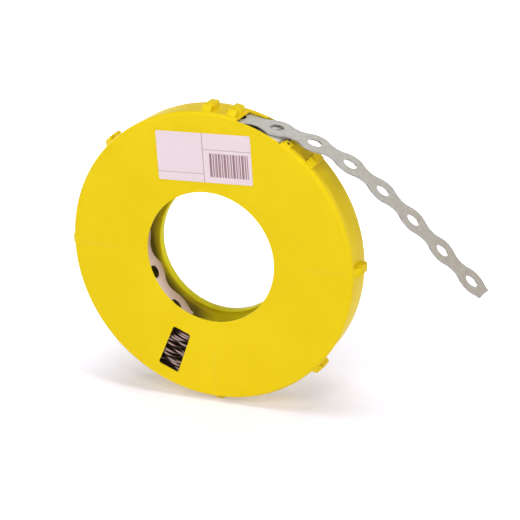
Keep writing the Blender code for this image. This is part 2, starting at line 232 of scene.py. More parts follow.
@dataclass(frozen=True)
class Turner:
    """Makes turned rings, prisms and blocks round the reel's axis."""

    reel: Reel

    def ring(self, profile: Sequence[Point2], steps: int) -> BMesh:
        """A full turn of a closed profile of radius and depth."""
        mesh = bmesh.new()
        corners = [mesh.verts.new(self.reel.place(r, 0.0, y)) for r, y in profile]
        edges = [mesh.edges.new(pair) for pair in zip(corners, corners[1:] + corners[:1])]
        bmesh.ops.spin(
            mesh,
            geom=corners + edges,
            cent=self.reel.centre,
            axis=(0, 1, 0),
            angle=math.tau,
            steps=steps,
            use_merge=True,
        )
        return mesh

    def sector(self, mesh: BMesh, outline: Sequence[Point2], span: Point2) -> None:
        """Adds a prism along the axis on an outline of radii and angles.

        Args:
            mesh: What it is added to.
            outline: Radius and angle of each corner.
            span: Its two depths.
        """
        near = [mesh.verts.new(self.reel.place(r, a, span[0])) for r, a in outline]
        draw_out(mesh, near, Vector((0.0, (span[1] - span[0]) * MM, 0.0)))

    def block(
        self,
        mesh: BMesh,
        profile: Sequence[Point2],
        angle: float,
        width: float,
        soften: float = 0.0,
    ) -> None:
        """Adds a closed profile of radius and depth, drawn out straight across one angle.

        Args:
            mesh: What it is added to.
            profile: Radius and depth of each corner.
            angle: Where it stands.
            width: How far it is drawn out.
            soften: How much its edges are rounded.
        """
        turn = math.radians(angle)
        across = Vector((-math.sin(turn), 0.0, math.cos(turn))) * width / 2 * MM
        near = [mesh.verts.new(self.reel.place(r, angle, y) - across) for r, y in profile]
        edges = draw_out(mesh, near, 2 * across)
        if soften > 0.0:
            base = (min(r for r, _ in profile) + ROOT_DEPTH) * MM
            raised = [e for e in edges if any(self._height(v.co) > base for v in e.verts)]
            bmesh.ops.bevel(
                mesh,
                geom=raised,
                offset=soften * MM,
                segments=3,
                profile=0.5,
                affect="EDGES",
                clamp_overlap=True,
            )

    def _height(self, point: Vector) -> float:
        """Distance of a point from the reel's axis, in metres."""
        offset = point - self.reel.centre
        return math.hypot(offset.x, offset.z)

    @staticmethod
    def ring_outline(inner: float, outer: float, start: float, end: float) -> list[Point2]:
        """Radii and angles round a piece of a ring."""
        steps = max(2, round(end - start))
        angles = [start + (end - start) * i / steps for i in range(steps + 1)]
        return [(inner, a) for a in angles] + [(outer, a) for a in reversed(angles)]


class NodeSheet:
    """Short ways to add and wire the nodes of one material or group."""

    def __init__(self, tree: NodeTree) -> None:
        self.nodes = tree.nodes
        self.links = tree.links

    def add(self, kind: str, **settings: object) -> Node:
        """A new node with some of its properties set."""
        node = self.nodes.new(kind)
        for name, value in settings.items():
            setattr(node, name, value)
        return node

    def wire(self, source: Socket | float | Colour, target: Socket) -> None:
        """Links a socket, or sets the value where a plain one is given."""
        if isinstance(source, Socket):
            self.links.new(source, target)
        elif isinstance(source, tuple):
            target.default_value = (*source, 1.0)
        else:
            target.default_value = source

    def math(
        self, operation: str, first: Value, second: Value = 0.0, clamp: bool = False
    ) -> Socket:
        """A Math node's result."""
        node = self.add("ShaderNodeMath", operation=operation, use_clamp=clamp)
        self.wire(first, node.inputs[0])
        self.wire(second, node.inputs[1])
        return node.outputs[0]

    def product(self, first: Socket, *others: Value) -> Socket:
        """Values multiplied together."""
        for other in others:
            first = self.math("MULTIPLY", first, other)
        return first

    def size(self, value: Socket) -> Socket:
        """A value without its sign."""
        return self.math("ABSOLUTE", value)

    def length(self, first: Socket, second: Socket) -> Socket:
        """The length that two upright distances span."""
        squares = [self.math("POWER", side, 2.0) for side in (first, second)]
        return self.math("SQRT", self.math("ADD", *squares))

    def remap(
        self, value: Value, low: float, high: float, to_low: float = 0.0, to_high: float = 1.0
    ) -> Socket:
        """A value stretched from one range onto another, clamped at its ends."""
        node = self.add("ShaderNodeMapRange", clamp=True)
        self.wire(value, node.inputs["Value"])
        names = ("From Min", "From Max", "To Min", "To Max")
        for name, number in zip(names, (low, high, to_low, to_high)):
            node.inputs[name].default_value = number
        return node.outputs["Result"]

    def split(self, vector: Socket) -> tuple[Socket, ...]:
        """A vector's X, Y and Z."""
        node = self.add("ShaderNodeSeparateXYZ")
        self.wire(vector, node.inputs[0])
        return tuple(node.outputs)

    def mix(
        self, share: Value, first: Socket | Colour, second: Socket | Colour, blend: str = "MIX"
    ) -> Socket:
        """A colour mix's result."""
        node = self.add("ShaderNodeMix", data_type="RGBA", blend_type=blend)
        self.wire(share, node.inputs[0])
        self.wire(first, node.inputs[6])
        self.wire(second, node.inputs[7])
        return node.outputs[2]

    def layers(self, colour: Socket, coats: Sequence[tuple[Value, Colour]]) -> Socket:
        """A colour with others laid over it in turn, each by its own mask."""
        for mask, coat in coats:
            colour = self.mix(mask, colour, coat)
        return colour

    def noise(self, place: Socket, scale: Value, detail: float, rough: float = 0.5) -> Socket:
        """A noise texture's value."""
        node = self.add("ShaderNodeTexNoise")
        self.wire(place, node.inputs["Vector"])
        self.wire(scale, node.inputs["Scale"])
        node.inputs["Detail"].default_value = detail
        node.inputs["Roughness"].default_value = rough
        return node.outputs["Fac"]


class SharedGroups:
    """Shader node groups that more than one finish uses, each built once."""

    def __init__(self) -> None:
        self.mottle = self._make_mottle()
        self.specks = self._make_specks()
        self.bar = self._make_bar()

    @staticmethod
    def _new(name: str, inputs: Sequence[str]) -> tuple[NodeTree, NodeSheet, Sockets]:
        """A group with a place, float inputs and a mask, its sheet and what it is given."""
        group = bpy.data.node_groups.new(name, "ShaderNodeTree")
        group.interface.new_socket("Place", in_out="INPUT", socket_type="NodeSocketVector")
        for label in inputs:
            group.interface.new_socket(label, in_out="INPUT", socket_type="NodeSocketFloat")
        group.interface.new_socket("Mask", in_out="OUTPUT", socket_type="NodeSocketFloat")
        given = group.nodes.new("NodeGroupInput").outputs
        group.nodes.new("NodeGroupOutput")
        return group, NodeSheet(group), given

    @staticmethod
    def _ended(
        group: NodeTree, sheet: NodeSheet, kind: str, first: Socket, second: Value
    ) -> NodeTree:
        """The group, ended with a clamped sum or product as its mask."""
        target = group.nodes["Group Output"].inputs["Mask"]
        sheet.wire(sheet.math(kind, first, second, clamp=True), target)
        return group

    def _make_mottle(self) -> NodeTree:
        """Slow cloudy variation from nought to one, for colour and roughness."""
        group, sheet, given = self._new("cloudy mottle", ["Scale", "Contrast"])
        cloud = sheet.noise(given["Place"], given["Scale"], 3.0)
        stretched = sheet.product(sheet.math("SUBTRACT", cloud, 0.5), given["Contrast"])
        return self._ended(group, sheet, "ADD", stretched, 0.5)

    def _make_specks(self) -> NodeTree:
        """Scattered small specks of dust, where a fine noise passes a level."""
        group, sheet, given = self._new("dust specks", ["Scale", "Level"])
        grain = sheet.noise(given["Place"], given["Scale"], 1.0)
        over = sheet.math("SUBTRACT", grain, given["Level"])
        return self._ended(group, sheet, "MULTIPLY", over, SPECK_EDGE)

    def _make_bar(self) -> NodeTree:
        """One printed bar: inside it the mask is one, with slightly soft edges."""
        group, sheet, given = self._new("printed bar", ["Left", "Right", "Bottom", "Top"])
        across, _, upright = sheet.split(given["Place"])
        nearest = sheet.math("SUBTRACT", across, given["Left"])
        for first, second in (
            (given["Right"], across),
            (upright, given["Bottom"]),
            (given["Top"], upright),
        ):
            nearest = sheet.math("MINIMUM", nearest, sheet.math("SUBTRACT", first, second))
        soft = sheet.product(nearest, 1.0 / (INK_EDGE * MM))
        return self._ended(group, sheet, "ADD", soft, 0.5)

    @staticmethod
    def use(sheet: NodeSheet, group: NodeTree, place: Socket, **values: float) -> Socket:
        """Places a group in a material and returns its mask."""
        node = sheet.add("ShaderNodeGroup", node_tree=group)
        sheet.wire(place, node.inputs["Place"])
        for name, value in values.items():
            node.inputs[name].default_value = value
        return node.outputs["Mask"]


def blank_material(name: str) -> tuple[Material, NodeSheet, Node]:
    """A new material with its Principled shader and a sheet for more nodes."""
    made = bpy.data.materials.new(name)
    made.use_nodes = True
    return made, NodeSheet(made.node_tree), made.node_tree.nodes["Principled BSDF"]


def add_bump(sheet: NodeSheet, shader: Node, height: Socket, distance: float) -> None:
    """Feeds a height into the shader's normal, its full strength over a distance in millimetres."""
    bump = sheet.add("ShaderNodeBump")
    bump.inputs["Distance"].default_value = distance * MM
    bump.inputs["Strength"].default_value = 1.0
    sheet.wire(height, bump.inputs["Height"])
    sheet.wire(bump.outputs["Normal"], shader.inputs["Normal"])


@dataclass(frozen=True)
class Spot:
    """The shaded place: its distance to the right, behind and above the axis, and from the axis."""

    across: Socket
    depth: Socket
    height: Socket
    distance: Socket


@dataclass(frozen=True)
class Pin:
    """The boss's pin hole.

    Args:
        angle: Where its axis points.
        depth: Where its axis lies from front to back.
        radius: How far from its axis the plastic gets painted shade.
    """

    angle: float
    depth: float
    radius: float


@dataclass(frozen=True)
class YellowPlastic:
    """Moulded yellow polystyrene with a satin skin and flow lines on its front, painted light and
    shade in its bore, and painted shade in its pin hole.

    Args:
        base: Its own colour.
        deep: Its colour in the cloudy patches.
        flow: Colour of the flow lines.
        dust: Colour of the specks.
        inside: Painted light: a brighter, greener yellow round the bore, standing in for light that
            passes through the thin plastic.
        bore_shade: Colour of the painted shade on the lip and cup at the left of the bore.
        pin_shade: Colour of the painted shade in the pin hole.
        roughness: Its least and most roughness.
        sheen: How strongly it mirrors.
        flow_strength: How much of the flow lines' colour shows.
        dust_strength: How much of the specks' colour shows.
        relief: Height of its unevenness.
        skin: How far inside the two faces the colours of the bore begin.
        bore_reach: Distances from the axis where the painted bore light is full and where it ends.
        bore_shade_reach: Distances from the axis where the painted shade begins and is full.
        bore_shade_end: Distance from the axis where the painted shade ends.
        bore_shade_side: Places across where the painted shade begins and is full.
        mark_radii: Distances from the axis between which the flow lines run.
        mark_fade: How far inside those they reach their strength.
        mark_width: Half the width of a flow line.
    """

    base: Colour = (0.89, 0.665, 0.008)
    deep: Colour = (0.85, 0.62, 0.005)
    flow: Colour = (0.86, 0.60, 0.035)
    dust: Colour = (0.62, 0.52, 0.25)
    inside: Colour = (0.86, 0.78, 0.012)
    bore_shade: Colour = (0.27, 0.21, 0.03)
    pin_shade: Colour = (0.08, 0.05, 0.01)
    roughness: Point2 = (0.37, 0.48)
    sheen: float = 0.08
    flow_strength: float = 0.35
    dust_strength: float = 0.25
    relief: float = 0.12
    skin: float = 0.5
    bore_reach: Point2 = (43.5, 44.5)
    bore_shade_reach: Point2 = (36.0, 40.0)
    bore_shade_end: float = 72.8
    bore_shade_side: Point2 = (-7.0, -17.0)
    mark_radii: Point2 = (49.0, 73.0)
    mark_fade: float = 3.0
    mark_width: float = 1.7

    def make(self, groups: SharedGroups, reel: Reel, pin: Pin) -> Material:
        """Builds the material for pieces whose mesh is in the frame's own place.

        Args:
            groups: The shared node groups.
            reel: The shared sizes.
            pin: The pin hole, which gets painted shade.

        Returns:
            The material.
        """
        made, sheet, shader = blank_material("yellow moulded plastic")
        place = sheet.add("ShaderNodeTexCoord").outputs["Object"]
        cloud = groups.use(sheet, groups.mottle, place, Scale=38.0, Contrast=1.6)
        specks = groups.use(sheet, groups.specks, place, Scale=900.0, Level=0.73)
        across, depth, upright = sheet.split(place)
        height = sheet.math("SUBTRACT", upright, reel.clip_radius * MM)
        spot = Spot(across, depth, height, sheet.length(across, height))
        marks = self._marks(sheet, spot, reel)
        pocket = sheet.math("LESS_THAN", sheet.size(depth), (reel.half_depth - self.skin) * MM)
        bore = sheet.remap(spot.distance, self.bore_reach[1] * MM, self.bore_reach[0] * MM)
        coats = (
            # painted light round the bore
            (sheet.product(bore, pocket), self.inside),
            # painted shade at the left of the bore
            (sheet.product(self._bore_shaded(sheet, spot), pocket), self.bore_shade),
            (sheet.product(marks, self.flow_strength), self.flow),
            (sheet.product(specks, self.dust_strength), self.dust),
            # painted shade in the pin hole
            (self._pin_hole(sheet, spot, pin), self.pin_shade),
        )
        colour = sheet.layers(sheet.mix(cloud, self.base, self.deep), coats)
        sheet.wire(colour, shader.inputs["Base Color"])
        rough = sheet.remap(cloud, 0.0, 1.0, *self.roughness)
        sheet.wire(rough, shader.inputs["Roughness"])
        fine = sheet.noise(place, 1500.0, 2.0)
        relief = sheet.math("ADD", sheet.product(fine, 0.15), sheet.product(cloud, 0.5))
        relief = sheet.math("SUBTRACT", relief, sheet.product(marks, 0.25))
        add_bump(sheet, shader, relief, self.relief)
        shader.inputs["IOR"].default_value = 1.5
        shader.inputs["Specular IOR Level"].default_value = self.sheen
        return made

    def _bore_shaded(self, sheet: NodeSheet, spot: Spot) -> Socket:
        """Mask of the painted shade on the lip and the inside of the cup, at the left of the bore.
        """
        begun = sheet.remap(spot.distance, self.bore_shade_reach[0] * MM, self.bore_shade_reach[1] * MM)
        ended = sheet.math("LESS_THAN", spot.distance, self.bore_shade_end * MM)
        beside = sheet.remap(spot.across, self.bore_shade_side[0] * MM, self.bore_shade_side[1] * MM)
        return sheet.product(begun, ended, beside)

    @staticmethod
    def _pin_hole(sheet: NodeSheet, spot: Spot, pin: Pin) -> Socket:
        """Mask of the painted shade close to the pin hole's axis, at the right of the reel."""
        turn = math.radians(pin.angle)
        sideways = sheet.product(spot.across, -math.sin(turn))
        aside = sheet.math("ADD", sideways, sheet.product(spot.height, math.cos(turn)))
        behind = sheet.math("SUBTRACT", spot.depth, pin.depth * MM)
        near = sheet.math("LESS_THAN", sheet.length(aside, behind), pin.radius * MM)
        return sheet.product(near, sheet.math("GREATER_THAN", spot.across, 0.0))

    def _marks(self, sheet: NodeSheet, spot: Spot, reel: Reel) -> Socket:
        """Mask of the faint flow lines at the left, right and bottom of the front face."""
        inner, outer = self.mark_radii
        begun = sheet.remap(spot.distance, inner * MM, (inner + self.mark_fade) * MM)
        ended = sheet.remap(spot.distance, outer * MM, (outer - self.mark_fade) * MM)
        level, upright = (
            sheet.remap(sheet.size(side), self.mark_width * MM, 0.0)
            for side in (spot.height, spot.across)
        )
        below = sheet.math("LESS_THAN", spot.height, 0.0)
        lines = sheet.math("MAXIMUM", level, sheet.product(upright, below))
        front = sheet.math("LESS_THAN", spot.depth, (FACE_SKIN - reel.half_depth) * MM)
        return sheet.product(lines, front, begun, ended)


@dataclass(frozen=True)
class ZincedSteel:
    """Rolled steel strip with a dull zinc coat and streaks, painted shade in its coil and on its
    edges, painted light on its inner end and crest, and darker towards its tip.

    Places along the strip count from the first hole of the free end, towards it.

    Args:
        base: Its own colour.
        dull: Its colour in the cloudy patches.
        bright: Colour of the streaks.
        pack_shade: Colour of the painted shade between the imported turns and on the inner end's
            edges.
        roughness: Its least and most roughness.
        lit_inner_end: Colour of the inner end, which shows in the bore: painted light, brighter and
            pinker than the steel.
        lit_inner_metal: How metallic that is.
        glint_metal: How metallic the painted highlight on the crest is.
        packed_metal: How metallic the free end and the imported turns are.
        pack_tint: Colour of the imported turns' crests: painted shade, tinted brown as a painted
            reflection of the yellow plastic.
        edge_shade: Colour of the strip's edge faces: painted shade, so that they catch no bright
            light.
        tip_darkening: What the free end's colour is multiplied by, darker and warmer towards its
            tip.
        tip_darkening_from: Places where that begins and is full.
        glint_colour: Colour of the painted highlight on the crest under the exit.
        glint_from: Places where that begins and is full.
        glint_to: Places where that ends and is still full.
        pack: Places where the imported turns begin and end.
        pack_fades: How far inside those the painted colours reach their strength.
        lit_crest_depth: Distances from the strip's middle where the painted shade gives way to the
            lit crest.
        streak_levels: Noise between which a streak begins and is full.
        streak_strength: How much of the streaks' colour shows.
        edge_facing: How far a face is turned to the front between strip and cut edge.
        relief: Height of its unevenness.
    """

    base: Colour = (0.54, 0.525, 0.475)
    dull: Colour = (0.44, 0.43, 0.39)
    bright: Colour = (0.64, 0.63, 0.58)
    pack_shade: Colour = (0.038, 0.016, 0.009)
    roughness: Point2 = (0.36, 0.52)
    lit_inner_end: Colour = (0.95, 0.75, 0.74)
    lit_inner_metal: float = 0.15
    glint_metal: float = 0.2
    packed_metal: Point2 = (0.9, 0.1)
    pack_tint: Colour = (0.50, 0.34, 0.30)
    edge_shade: Colour = (0.30, 0.29, 0.27)
    tip_darkening: Colour = (0.85, 0.79, 0.745)
    tip_darkening_from: Point2 = (30.0, 130.0)
    glint_colour: Colour = (0.95, 0.95, 0.93)
    glint_from: Point2 = (-432.0, -428.0)
    glint_to: Point2 = (-414.0, -417.0)
    pack: Point2 = (-9700.0, -6.0)
    pack_fades: Point2 = (5.0, 4.0)
    lit_crest_depth: Point2 = (8.1, 8.85)
    streak_levels: Point2 = (0.45, 0.75)
    streak_strength: float = 0.35
    edge_facing: Point2 = (0.35, 0.6)
    relief: float = 0.05

    def make(self, groups: SharedGroups) -> Material:
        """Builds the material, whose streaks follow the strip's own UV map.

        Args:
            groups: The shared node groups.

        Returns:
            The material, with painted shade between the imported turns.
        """
        made, sheet, shader = blank_material("zinced steel")
        strip = sheet.add("ShaderNodeUVMap", uv_map=STRIP_MAP).outputs["UV"]
        stretch = sheet.add("ShaderNodeMapping")
        stretch.inputs["Scale"].default_value = (0.12, 1.6, 1.0)
        sheet.wire(strip, stretch.inputs["Vector"])
        streaks = sheet.noise(stretch.outputs["Vector"], 1.4, 4.0, 0.6)
        spangle = groups.use(sheet, groups.mottle, strip, Scale=0.35, Contrast=2.4)
        fine = sheet.noise(strip, 6.0, 3.0, 0.65)
        along, across, _ = sheet.split(strip)
        colour = sheet.mix(spangle, self.base, self.dull)
        streaked = sheet.remap(streaks, *self.streak_levels, 0.0, self.streak_strength)
        colour = sheet.mix(streaked, colour, self.bright)
        # darker and warmer towards the free end's tip
        colour = sheet.mix(sheet.remap(along, *self.tip_darkening_from), colour, self.tip_darkening, "MULTIPLY")
        inner = sheet.remap(along, self.pack[0] + self.pack_fades[0], self.pack[0])
        facing = sheet.split(sheet.add("ShaderNodeNewGeometry").outputs["Normal"])[1]
        edge = sheet.remap(sheet.size(facing), *self.edge_facing)
        fades = (self.glint_from, self.glint_to)
        glint = sheet.product(*(sheet.remap(along, *fade) for fade in fades))
        packed, pack_shade_mask = self._pack_shading(sheet, along, across, glint)
        coats = (
            # painted light on the inner end, which shows in the bore
            (inner, self.lit_inner_end),
            # painted shade on the edge faces, picked by which way they face
            (edge, self.edge_shade),
            # painted highlight on the crest under the exit
            (glint, self.glint_colour),
            # painted shade on the inner end's edges
            (sheet.product(edge, inner), self.pack_shade),
            # the imported turns painted dark brown: painted shade and a painted reflection of the
            # yellow plastic
            (packed, self.pack_tint),
            # painted shade on the turns' flanks, where neighbouring turns shade them
            (pack_shade_mask, self.pack_shade),
        )
        sheet.wire(sheet.layers(colour, coats), shader.inputs["Base Color"])
        metal = sheet.remap(packed, 0.0, 1.0, *self.packed_metal)
        for mask, least in ((inner, self.lit_inner_metal), (glint, self.glint_metal)):
            metal = sheet.math("MINIMUM", metal, sheet.remap(mask, 0.0, 1.0, 1.0, least))
        sheet.wire(metal, shader.inputs["Metallic"])
        rough = sheet.remap(sheet.math("ADD", spangle, fine), 0.4, 1.6, *self.roughness)
        sheet.wire(rough, shader.inputs["Roughness"])
        relief = sheet.math("ADD", sheet.product(fine, 0.5), sheet.product(streaks, 0.5))
        add_bump(sheet, shader, relief, self.relief)
        return made

    def _pack_shading(
        self, sheet: NodeSheet, along: Socket, across: Socket, glint: Socket
    ) -> tuple[Socket, Socket]:
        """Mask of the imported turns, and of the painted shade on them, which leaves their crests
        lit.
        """
        after = sheet.remap(along, self.pack[0], self.pack[0] + self.pack_fades[0])
        before = sheet.remap(along, self.pack[1], self.pack[1] - self.pack_fades[1])
        # the painted shade is full away from the crest and gone at it
        crest = sheet.remap(sheet.size(across), *self.lit_crest_depth, 1.0, 0.0)
        packed = sheet.product(after, before, sheet.math("SUBTRACT", 1.0, glint))
        return packed, sheet.product(packed, crest)


@dataclass(frozen=True)
class CoatedPaper:
    """Pale pinkish label paper with thin printed rules and a plain block of stripes.

    Args:
        paper: Its own colour.
        cloudy: Its colour in the cloudy patches.
        ink: The rules' colour.
        rules: Left, right, bottom and top of each rule, as shares of the label.
        stripes: Left, right, bottom and top of the striped block, as shares of the label.
        rates: How fast the stripes' two waves run, in radians for each millimetre.
        levels: Sum of the waves between which the ink begins and is full.
        rule_strength: How much of the ink shows in the rules.
        roughness: Its roughness.
        relief: Height of its fibres.
    """

    paper: Colour = (0.84, 0.70, 0.73)
    cloudy: Colour = (0.80, 0.66, 0.69)
    ink: Colour = (0.27, 0.15, 0.16)
    rules: tuple[Shares, ...] = (
        (0.486, 0.494, 0.0, 1.0),
        (0.0, 0.49, 0.165, 0.177),
        (0.49, 1.0, 0.665, 0.677),
    )
    stripes: Shares = (0.555, 0.965, 0.12, 0.60)
    rates: Point2 = (6.7, 4.1)
    levels: Point2 = (-0.55, 0.05)
    rule_strength: float = 0.7
    roughness: float = 0.5
    relief: float = 0.02

    def make(self, groups: SharedGroups, size: Point2) -> Material:
        """Builds the material for a label whose own middle is its origin.

        Args:
            groups: The shared node groups.
            size: The label's width and height.

        Returns:
            The material.
        """
        made, sheet, shader = blank_material("coated label paper")
        place = sheet.add("ShaderNodeTexCoord").outputs["Object"]
        shapes = (*self.rules, self.stripes)
        bars = [self._bar(sheet, groups, place, shares, size) for shares in shapes]
        rules = bars[0]
        for bar in bars[1:-1]:
            rules = sheet.math("MAXIMUM", rules, bar)
        striped = sheet.product(bars[-1], self._stripes(sheet, place))
        printed = sheet.math("MAXIMUM", sheet.product(rules, self.rule_strength), striped)
        cloud = groups.use(sheet, groups.mottle, place, Scale=60.0, Contrast=1.2)
        paper = sheet.mix(cloud, self.paper, self.cloudy)
        sheet.wire(sheet.mix(printed, paper, self.ink), shader.inputs["Base Color"])
        shader.inputs["Roughness"].default_value = self.roughness
        fibres = sheet.noise(place, 1200.0, 3.0, 0.7)
        relief = sheet.math("ADD", fibres, sheet.product(cloud, 2.0))
        add_bump(sheet, shader, relief, self.relief)
        return made

    @staticmethod
    def _bar(
        sheet: NodeSheet, groups: SharedGroups, place: Socket, shares: Shares, size: Point2
    ) -> Socket:
        """Mask of one printed bar, given as shares of the label from its lower left corner."""
        names = ("Left", "Right", "Bottom", "Top")
        sides = (size[0], size[0], size[1], size[1])
        places = [(share - 0.5) * side * MM for share, side in zip(shares, sides)]
        values = dict(zip(names, places))
        return groups.use(sheet, groups.bar, place, **values)

    def _stripes(self, sheet: NodeSheet, place: Socket) -> Socket:
        """Upright stripes of uneven width, from two waves that beat."""
        across = sheet.split(place)[0]
        waves = [sheet.math("SINE", sheet.product(across, rate / MM)) for rate in self.rates]
        return sheet.remap(sheet.math("ADD", *waves), *self.levels)


@dataclass
class Clip:
    """A rim clip: the lid's ramped lug and, behind it, the cup's springy catch."""

    width: float = 4.7
    ramp: float = 3.4
    lug_front: float = -8.6
    lug_back: float = -4.0
    gap: float = 0.9
    catch_length: float = 8.1
    chamfer: float = 1.0
    slit: float = 0.14
    slit_margin: float = 0.2
    slit_short: float = 0.4
    soften: float = 0.85

    @property
    def catch_front(self) -> float:
        """Depth of the catch's front face."""
        return self.lug_back + self.gap

    @property
    def catch_back(self) -> float:
        """Depth of the catch's back face."""
        return self.catch_front + self.catch_length


@dataclass
class Boss:
    """The small boss beside the exit, with its pin hole."""

    angle: float = 55.7
    width: float = 4.4
    rise: float = 0.9
    length: float = 4.2
    overlap: float = 2.4
    hole: float = 1.6
    hole_back: float = 1.6
    shade_overreach: float = 0.03
    soften: float = 0.4


@dataclass
class Openings:
    """Where the rim, the lid and the front are open."""

    exit_from: float = 56.5
    exit_to: float = 76.9
    exit_deep_to: float = 69.5
    lid_notch_from: float = 58.0
    back_strip: float = 3.3
    lid_notch_depth: float = 1.1
    skirt_gap_depth: float = 3.0
    skirt_gap_lip: float = 0.2
    window_angle: float = -112.5
    window_widths: Point2 = (10.0, 11.4)
    window_inner: float = 44.4
    window_outer: float = 67.5
    window_corner: float = 1.2


@dataclass
class Cassette:
    """The two snapped-together shells of the cassette."""

    reel: Reel
    lid_radius: float = 75.0
    bore_radius: float = 34.0
    plate: float = 0.9
    rim_wall: float = 0.8
    rim_step: float = 0.9
    skirt_wall: float = 1.4
    skirt_depth: float = 3.4
    lid_fillet: float = 2.0
    back_fillet: float = 1.1
    lip_height: float = 3.1
    lip_wall: float = 1.0
    bore_fillet: float = 0.35
    edge_fillet: float = 0.2
    lip_fillet: float = 0.3
    seat_gap: float = 0.3
    clip_spacing: float = 45.0
    extra_clip: float = 80.0
    steps: int = 192

    def __post_init__(self) -> None:
        self.turner = Turner(self.reel)
        self.clip = Clip()
        self.boss = Boss()
        self.openings = Openings()
        self.half_inside = self.reel.half_depth - self.plate
        self.rim_radius = self.lid_radius - self.rim_step
        self.rim_inner = self.rim_radius - self.rim_wall
        self.skirt_end = self.skirt_depth - self.reel.half_depth
        self.rim_front = self.skirt_end + self.seat_gap

    def clip_angles(self) -> list[float]:
        """The angle of every clip round the rim."""
        count = round(360.0 / self.clip_spacing)
        return [i * self.clip_spacing for i in range(count)] + [self.extra_clip]

    def build_front(self) -> Piece:
        """The lid: flat ring, rounded edge, short skirt, lugs, window, exit notch and pin boss."""
        front = -self.reel.half_depth
        skirt_inner = self.lid_radius - self.skirt_wall
        bore = self.bore_radius
        profile = [(bore, -self.half_inside)]
        fillet = self.bore_fillet
        profile += arc((bore + fillet, front + fillet), fillet, 180.0, 270.0, 4)
        fillet = self.lid_fillet
        profile += arc((self.lid_radius - fillet, front + fillet), fillet, -90.0, 0.0, 12)
        fillet = self.edge_fillet
        profile += arc((self.lid_radius - fillet, self.skirt_end - fillet), fillet, 0.0, 90.0, 3)
        profile += [
            (skirt_inner, self.skirt_end),
            (skirt_inner, self.plate - self.half_inside),
            (skirt_inner - self.plate, -self.half_inside),
        ]
        return self._worked(
            new_object("front_shell_moulding", self.turner.ring(profile, self.steps)),
            [
                *((cutter, Join.CUT) for cutter in self._lid_notch()),
                (self._lugs(), Join.ADD),
                (self._boss(), Join.ADD),
                (self._boss_hole(), Join.CUT),
                (self._window(), Join.CUT),
            ],
        )

    @staticmethod
    def _worked(body: Piece, others: Sequence[tuple[Piece, Join]]) -> Piece:
        """A body with others added to it or cut out of it, in order."""
        for other, join in others:
            combine(body, other, join)
        return body

    def _lid_notch(self) -> list[Piece]:
        """Cutters that trim the rounded edge at the exit and open the skirt behind it."""
        opening = self.openings
        cuts = (
            (opening.lid_notch_depth, -self.reel.half_depth - CUT_MARGIN),
            (opening.skirt_gap_depth, opening.skirt_gap_lip - self.half_inside),
        )
        angles = (opening.lid_notch_from, opening.exit_to)
        return [
            self._ring_cutter(
                "lid notch",
                (self.lid_radius - depth, self.reel.clip_radius),
                angles,
                (front, self.skirt_end + CUT_MARGIN),
            )
            for depth, front in cuts
        ]

    def _ring_cutter(self, name: str, radii: Point2, angles: Point2, span: Point2) -> Piece:
        """Cutter for a piece of a ring between two radii, two angles and two depths."""
        mesh = bmesh.new()
        self.turner.sector(mesh, self.turner.ring_outline(*radii, *angles), span)
        return new_object(name, mesh)

    def _blocks(
        self,
        name: str,
        profile: Sequence[Point2],
        angles: Sequence[float],
        width: float,
        soften: float = 0.0,
    ) -> Piece:
        """One profile drawn out at several angles, as one body.

        Args:
            name: The body's name.
            profile: Radius and depth of each corner.
            angles: Where it stands.
            width: How far it is drawn out.
            soften: How much its edges are rounded.

        Returns:
            The body.
        """
        mesh = bmesh.new()
        for angle in angles:
            self.turner.block(mesh, profile, angle, width, soften)
        return new_object(name, mesh)

    def _overhanging(self, span: Point2, top: float, ramp: float = 0.0) -> list[Point2]:
        """Profile of what stands on the lid's skirt and reaches back over the cup's rim."""
        front, back = span
        root = self.lid_radius - self.skirt_wall / 2
        overhang = self.rim_radius + self.seat_gap
        seat = self.skirt_end - self.seat_gap
        return [
            (root, front),
            (root, seat),
            (overhang, seat),
            (overhang, back),
            (top, back),
            (top, front + ramp),
        ]

    def _lugs(self) -> Piece:
        """The ramped lugs, one in front of each catch."""
        clip = self.clip
        span = (clip.lug_front, clip.lug_back)
        profile = self._overhanging(span, self.reel.clip_radius, clip.ramp)
        return self._blocks("lugs", profile, self.clip_angles(), clip.width, clip.soften)

    def _boss(self) -> Piece:
        """The small square boss beside the exit."""
        boss = self.boss
        front = self.skirt_end - boss.overlap
        profile = self._overhanging((front, front + boss.length), self.lid_radius + boss.rise)
        return self._blocks("boss", profile, [boss.angle], boss.width, boss.soften)

    @property
    def pin(self) -> Pin:
        """The pin hole through the boss."""
        boss = self.boss
        depth = self.skirt_end - boss.overlap + boss.hole_back
        return Pin(boss.angle, depth, boss.hole / 2 + boss.shade_overreach)

    def _boss_hole(self) -> Piece:
        """Cutter for the pin hole through the boss."""
        boss = self.boss
        mesh = bmesh.new()
        middle = self.reel.place(self.lid_radius, boss.angle, self.pin.depth)
        turn = Matrix.Rotation(math.radians(90.0 - boss.angle), 4, "Y")
        bmesh.ops.create_cone(
            mesh,
            cap_ends=True,
            segments=24,
            radius1=boss.hole / 2 * MM,
            radius2=boss.hole / 2 * MM,
            depth=4 * self.skirt_wall * MM,
            matrix=Matrix.Translation(middle) @ turn,
        )
        return new_object("boss hole", mesh)

    def _window(self) -> Piece:
        """Cutter for the window over the turns, with nearly parallel sides and rounded corners."""
        opening = self.openings
        corner = opening.window_corner
        inner = opening.window_inner + corner
        outer = opening.window_outer - corner
        narrow = opening.window_widths[0] / 2 - corner
        wide = opening.window_widths[1] / 2 - corner
        drawn: list[Point2] = []
        for middle, start in (
            ((inner, -narrow), 180.0),
            ((outer, -wide), 270.0),
            ((outer, wide), 0.0),
            ((inner, narrow), 90.0),
        ):
            drawn += arc(middle, corner, start, start + 90.0, 6)
        outline = [
            (math.hypot(out, side), opening.window_angle + math.degrees(math.atan2(side, out)))
            for out, side in drawn
        ]
        mesh = bmesh.new()
        span = (-self.reel.half_depth - CUT_MARGIN, CUT_MARGIN - self.half_inside)
        self.turner.sector(mesh, outline, span)
        return new_object("window", mesh)

